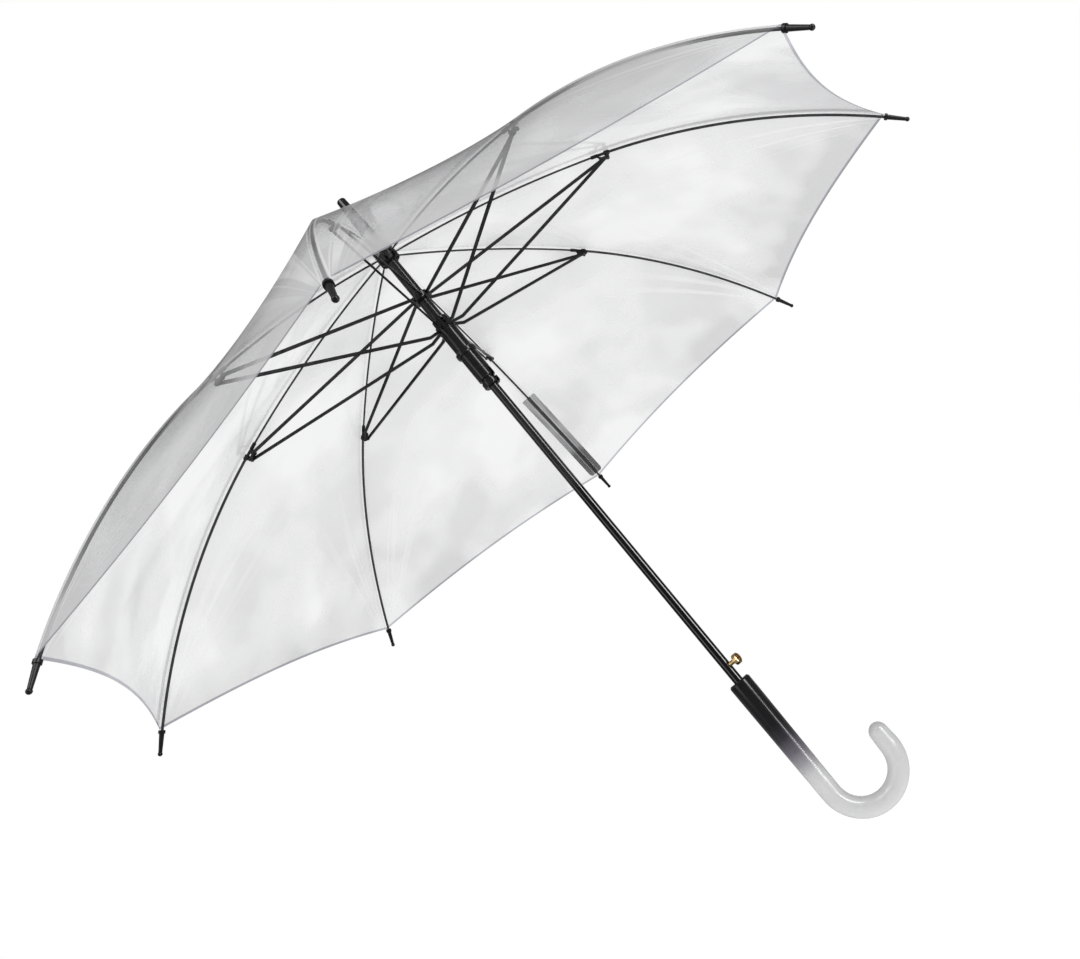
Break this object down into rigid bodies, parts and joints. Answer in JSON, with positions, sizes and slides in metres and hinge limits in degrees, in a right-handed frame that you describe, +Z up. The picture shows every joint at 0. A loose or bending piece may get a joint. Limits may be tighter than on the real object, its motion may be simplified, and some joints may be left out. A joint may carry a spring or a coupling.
{
  "type": "stick umbrella",
  "caption": "Clear domed stick umbrella with a crook handle, a folding rib frame on two sliding runners, a closing strap and a release button.",
  "frame": {"origin": "on the shaft's axis at the middle of the handle's straight grip", "axes": "+Z up the shaft to the ferrule, +X towards the side the hook curls to"},
  "size_m": [1.0558, 1.0558, 0.8793],
  "materials": {
    "black_lacquer": "glossy black lacquer on a steel tube",
    "black_steel": "satin black coated steel",
    "black_plastic": "glossy black moulded plastic",
    "joint_plastic": "semi-matt black moulded plastic",
    "cap_plastic": "glossy black moulded plastic",
    "handle_plastic": "glossy, fading from black at the top to frosted white at the hook",
    "clear_film": "clear glossy film with a light grey cast",
    "strap_leather": "black leatherette",
    "brass": "polished brass",
    "nickel": "nickel plated",
    "spring_steel": "plain spring steel"
  },
  "bodies": {
    "pole": {"shaft": "black_lacquer", "ferrule": "black_plastic", "canopy_collar": "black_plastic", "crown": "black_plastic", "handle": "handle_plastic", "canopy": "clear_film"},
    "lower_runner": {"lower_runner": "black_plastic", "opening_spring": "spring_steel"},
    "upper_runner": {"upper_runner": "black_plastic"},
    "release_button": {"release_button": "brass"},
    "rib_inner_1": {"rib_inner_1": "black_steel", "rib_joint_1": "joint_plastic"},
    "rib_outer_1": {"rib_outer_1": "black_steel", "tip_cap_1": "cap_plastic"},
    "stretcher_1": {"stretcher_1": "black_steel"},
    "strut_1": {"strut_1": "black_steel"},
    "rib_inner_2": {"rib_inner_2": "black_steel", "rib_joint_2": "joint_plastic"},
    "rib_outer_2": {"rib_outer_2": "black_steel", "tip_cap_2": "cap_plastic"},
    "stretcher_2": {"stretcher_2": "black_steel"},
    "strut_2": {"strut_2": "black_steel"},
    "rib_inner_3": {"rib_inner_3": "black_steel", "rib_joint_3": "joint_plastic"},
    "rib_outer_3": {"rib_outer_3": "black_steel", "tip_cap_3": "cap_plastic"},
    "stretcher_3": {"stretcher_3": "black_steel"},
    "strut_3": {"strut_3": "black_steel"},
    "rib_inner_4": {"rib_inner_4": "black_steel", "rib_joint_4": "joint_plastic"},
    "rib_outer_4": {"rib_outer_4": "black_steel", "tip_cap_4": "cap_plastic"},
    "stretcher_4": {"stretcher_4": "black_steel"},
    "strut_4": {"strut_4": "black_steel"},
    "rib_inner_5": {"rib_inner_5": "black_steel", "rib_joint_5": "joint_plastic"},
    "rib_outer_5": {"rib_outer_5": "black_steel", "tip_cap_5": "cap_plastic"},
    "stretcher_5": {"stretcher_5": "black_steel"},
    "strut_5": {"strut_5": "black_steel"},
    "rib_inner_6": {"rib_inner_6": "black_steel", "rib_joint_6": "joint_plastic"},
    "rib_outer_6": {"rib_outer_6": "black_steel", "tip_cap_6": "cap_plastic"},
    "stretcher_6": {"stretcher_6": "black_steel"},
    "strut_6": {"strut_6": "black_steel"},
    "rib_inner_7": {"rib_inner_7": "black_steel", "rib_joint_7": "joint_plastic"},
    "rib_outer_7": {"rib_outer_7": "black_steel", "tip_cap_7": "cap_plastic"},
    "stretcher_7": {"stretcher_7": "black_steel"},
    "strut_7": {"strut_7": "black_steel"},
    "rib_inner_8": {"rib_inner_8": "black_steel", "rib_joint_8": "joint_plastic"},
    "rib_outer_8": {"rib_outer_8": "black_steel", "tip_cap_8": "cap_plastic"},
    "stretcher_8": {"stretcher_8": "black_steel"},
    "strut_8": {"strut_8": "black_steel"},
    "strap": {"strap": "strap_leather", "snap_fastener": "nickel"}
  },
  "joints": [
    {"name": "open_close", "type": "slide", "parent": "pole", "child": "lower_runner", "axis": [0, 0, -1], "range_m": [0, 0.40364], "stiffness_N_per_m": 30, "springref_m": -0.35},
    {"name": "upper_runner_slide", "type": "slide", "parent": "pole", "child": "upper_runner", "axis": [0, 0, -1], "range_m": [0, 0.43092], "deforming": ["opening_spring"]},
    {"name": "crown_hinge_1", "type": "hinge", "parent": "pole", "child": "rib_inner_1", "pos_m": [0.009, 0, 0.67], "axis": [0, 1, 0], "range_deg": [0, 70.55]},
    {"name": "rib_flex_1", "type": "hinge", "parent": "rib_inner_1", "child": "rib_outer_1", "pos_m": [0.26205, 0, 0.59668], "axis": [0, -1, 0], "range_deg": [0, 16.49]},
    {"name": "stretcher_swing_1", "type": "hinge", "parent": "upper_runner", "child": "stretcher_1", "pos_m": [0.00986, 0.0033, 0.607], "axis": [0, -1, 0], "range_deg": [0, 90.63]},
    {"name": "strut_swing_1", "type": "hinge", "parent": "lower_runner", "child": "strut_1", "pos_m": [0.00902, -0.0033, 0.562], "axis": [0, -1, 0], "range_deg": [0, 80.86]},
    {"name": "crown_hinge_2", "type": "hinge", "parent": "pole", "child": "rib_inner_2", "pos_m": [0.00636, 0.00636, 0.67], "axis": [-0.7071, 0.7071, 0], "range_deg": [0, 70.55]},
    {"name": "rib_flex_2", "type": "hinge", "parent": "rib_inner_2", "child": "rib_outer_2", "pos_m": [0.1853, 0.1853, 0.59668], "axis": [0.7071, -0.7071, 0], "range_deg": [0, 16.49]},
    {"name": "stretcher_swing_2", "type": "hinge", "parent": "upper_runner", "child": "stretcher_2", "pos_m": [0.00464, 0.00931, 0.607], "axis": [0.7071, -0.7071, 0], "range_deg": [0, 90.63]},
    {"name": "strut_swing_2", "type": "hinge", "parent": "lower_runner", "child": "strut_2", "pos_m": [0.00871, 0.00404, 0.562], "axis": [0.7071, -0.7071, 0], "range_deg": [0, 80.86]},
    {"name": "crown_hinge_3", "type": "hinge", "parent": "pole", "child": "rib_inner_3", "pos_m": [0, 0.009, 0.67], "axis": [-1, 0, 0], "range_deg": [0, 70.55]},
    {"name": "rib_flex_3", "type": "hinge", "parent": "rib_inner_3", "child": "rib_outer_3", "pos_m": [0, 0.26205, 0.59668], "axis": [1, 0, 0], "range_deg": [0, 16.49]},
    {"name": "stretcher_swing_3", "type": "hinge", "parent": "upper_runner", "child": "stretcher_3", "pos_m": [-0.0033, 0.00986, 0.607], "axis": [1, 0, 0], "range_deg": [0, 90.63]},
    {"name": "strut_swing_3", "type": "hinge", "parent": "lower_runner", "child": "strut_3", "pos_m": [0.0033, 0.00902, 0.562], "axis": [1, 0, 0], "range_deg": [0, 80.86]},
    {"name": "crown_hinge_4", "type": "hinge", "parent": "pole", "child": "rib_inner_4", "pos_m": [-0.00636, 0.00636, 0.67], "axis": [-0.7071, -0.7071, 0], "range_deg": [0, 70.55]},
    {"name": "rib_flex_4", "type": "hinge", "parent": "rib_inner_4", "child": "rib_outer_4", "pos_m": [-0.1853, 0.1853, 0.59668], "axis": [0.7071, 0.7071, 0], "range_deg": [0, 16.49]},
    {"name": "stretcher_swing_4", "type": "hinge", "parent": "upper_runner", "child": "stretcher_4", "pos_m": [-0.00931, 0.00464, 0.607], "axis": [0.7071, 0.7071, 0], "range_deg": [0, 90.63]},
    {"name": "strut_swing_4", "type": "hinge", "parent": "lower_runner", "child": "strut_4", "pos_m": [-0.00404, 0.00871, 0.562], "axis": [0.7071, 0.7071, 0], "range_deg": [0, 80.86]},
    {"name": "crown_hinge_5", "type": "hinge", "parent": "pole", "child": "rib_inner_5", "pos_m": [-0.009, 0, 0.67], "axis": [0, -1, 0], "range_deg": [0, 70.55]},
    {"name": "rib_flex_5", "type": "hinge", "parent": "rib_inner_5", "child": "rib_outer_5", "pos_m": [-0.26205, 0, 0.59668], "axis": [0, 1, 0], "range_deg": [0, 16.49]},
    {"name": "stretcher_swing_5", "type": "hinge", "parent": "upper_runner", "child": "stretcher_5", "pos_m": [-0.00986, -0.0033, 0.607], "axis": [0, 1, 0], "range_deg": [0, 90.63]},
    {"name": "strut_swing_5", "type": "hinge", "parent": "lower_runner", "child": "strut_5", "pos_m": [-0.00902, 0.0033, 0.562], "axis": [0, 1, 0], "range_deg": [0, 80.86]},
    {"name": "crown_hinge_6", "type": "hinge", "parent": "pole", "child": "rib_inner_6", "pos_m": [-0.00636, -0.00636, 0.67], "axis": [0.7071, -0.7071, 0], "range_deg": [0, 70.55]},
    {"name": "rib_flex_6", "type": "hinge", "parent": "rib_inner_6", "child": "rib_outer_6", "pos_m": [-0.1853, -0.1853, 0.59668], "axis": [-0.7071, 0.7071, 0], "range_deg": [0, 16.49]},
    {"name": "stretcher_swing_6", "type": "hinge", "parent": "upper_runner", "child": "stretcher_6", "pos_m": [-0.00464, -0.00931, 0.607], "axis": [-0.7071, 0.7071, 0], "range_deg": [0, 90.63]},
    {"name": "strut_swing_6", "type": "hinge", "parent": "lower_runner", "child": "strut_6", "pos_m": [-0.00871, -0.00404, 0.562], "axis": [-0.7071, 0.7071, 0], "range_deg": [0, 80.86]},
    {"name": "crown_hinge_7", "type": "hinge", "parent": "pole", "child": "rib_inner_7", "pos_m": [0, -0.009, 0.67], "axis": [1, 0, 0], "range_deg": [0, 70.55]},
    {"name": "rib_flex_7", "type": "hinge", "parent": "rib_inner_7", "child": "rib_outer_7", "pos_m": [0, -0.26205, 0.59668], "axis": [-1, 0, 0], "range_deg": [0, 16.49]},
    {"name": "stretcher_swing_7", "type": "hinge", "parent": "upper_runner", "child": "stretcher_7", "pos_m": [0.0033, -0.00986, 0.607], "axis": [-1, 0, 0], "range_deg": [0, 90.63]},
    {"name": "strut_swing_7", "type": "hinge", "parent": "lower_runner", "child": "strut_7", "pos_m": [-0.0033, -0.00902, 0.562], "axis": [-1, 0, 0], "range_deg": [0, 80.86]},
    {"name": "crown_hinge_8", "type": "hinge", "parent": "pole", "child": "rib_inner_8", "pos_m": [0.00636, -0.00636, 0.67], "axis": [0.7071, 0.7071, 0], "range_deg": [0, 70.55]},
    {"name": "rib_flex_8", "type": "hinge", "parent": "rib_inner_8", "child": "rib_outer_8", "pos_m": [0.1853, -0.1853, 0.59668], "axis": [-0.7071, -0.7071, 0], "range_deg": [0, 16.49]},
    {"name": "stretcher_swing_8", "type": "hinge", "parent": "upper_runner", "child": "stretcher_8", "pos_m": [0.00931, -0.00464, 0.607], "axis": [-0.7071, -0.7071, 0], "range_deg": [0, 90.63]},
    {"name": "strut_swing_8", "type": "hinge", "parent": "lower_runner", "child": "strut_8", "pos_m": [0.00404, -0.00871, 0.562], "axis": [-0.7071, -0.7071, 0], "range_deg": [0, 80.86]},
    {"name": "release_press", "type": "slide", "parent": "pole", "child": "release_button", "axis": [-0.9239, 0.3827, 0], "range_m": [0, 0.0015], "stiffness_N_per_m": 600, "springref_m": -0.001},
    {"name": "strap_flap", "type": "hinge", "parent": "rib_outer_3", "child": "strap", "pos_m": [0, 0.36187, 0.5498], "axis": [1, 0, 0], "range_deg": [0, 120]}
  ],
  "couplings": [
    {"joint": "upper_runner_slide", "follows": "open_close", "ratio": 1.0673},
    {"joint": "crown_hinge_1", "follows": "open_close", "rad_per_m": 3.0506},
    {"joint": "rib_flex_1", "follows": "open_close", "rad_per_m": 0.7129},
    {"joint": "stretcher_swing_1", "follows": "open_close", "rad_per_m": 3.919},
    {"joint": "strut_swing_1", "follows": "open_close", "rad_per_m": 3.4962},
    {"joint": "crown_hinge_2", "follows": "open_close", "rad_per_m": 3.0506},
    {"joint": "rib_flex_2", "follows": "open_close", "rad_per_m": 0.7129},
    {"joint": "stretcher_swing_2", "follows": "open_close", "rad_per_m": 3.919},
    {"joint": "strut_swing_2", "follows": "open_close", "rad_per_m": 3.4962},
    {"joint": "crown_hinge_3", "follows": "open_close", "rad_per_m": 3.0506},
    {"joint": "rib_flex_3", "follows": "open_close", "rad_per_m": 0.7129},
    {"joint": "stretcher_swing_3", "follows": "open_close", "rad_per_m": 3.919},
    {"joint": "strut_swing_3", "follows": "open_close", "rad_per_m": 3.4962},
    {"joint": "crown_hinge_4", "follows": "open_close", "rad_per_m": 3.0506},
    {"joint": "rib_flex_4", "follows": "open_close", "rad_per_m": 0.7129},
    {"joint": "stretcher_swing_4", "follows": "open_close", "rad_per_m": 3.919},
    {"joint": "strut_swing_4", "follows": "open_close", "rad_per_m": 3.4962},
    {"joint": "crown_hinge_5", "follows": "open_close", "rad_per_m": 3.0506},
    {"joint": "rib_flex_5", "follows": "open_close", "rad_per_m": 0.7129},
    {"joint": "stretcher_swing_5", "follows": "open_close", "rad_per_m": 3.919},
    {"joint": "strut_swing_5", "follows": "open_close", "rad_per_m": 3.4962},
    {"joint": "crown_hinge_6", "follows": "open_close", "rad_per_m": 3.0506},
    {"joint": "rib_flex_6", "follows": "open_close", "rad_per_m": 0.7129},
    {"joint": "stretcher_swing_6", "follows": "open_close", "rad_per_m": 3.919},
    {"joint": "strut_swing_6", "follows": "open_close", "rad_per_m": 3.4962},
    {"joint": "crown_hinge_7", "follows": "open_close", "rad_per_m": 3.0506},
    {"joint": "rib_flex_7", "follows": "open_close", "rad_per_m": 0.7129},
    {"joint": "stretcher_swing_7", "follows": "open_close", "rad_per_m": 3.919},
    {"joint": "strut_swing_7", "follows": "open_close", "rad_per_m": 3.4962},
    {"joint": "crown_hinge_8", "follows": "open_close", "rad_per_m": 3.0506},
    {"joint": "rib_flex_8", "follows": "open_close", "rad_per_m": 0.7129},
    {"joint": "stretcher_swing_8", "follows": "open_close", "rad_per_m": 3.919},
    {"joint": "strut_swing_8", "follows": "open_close", "rad_per_m": 3.4962}
  ]
}
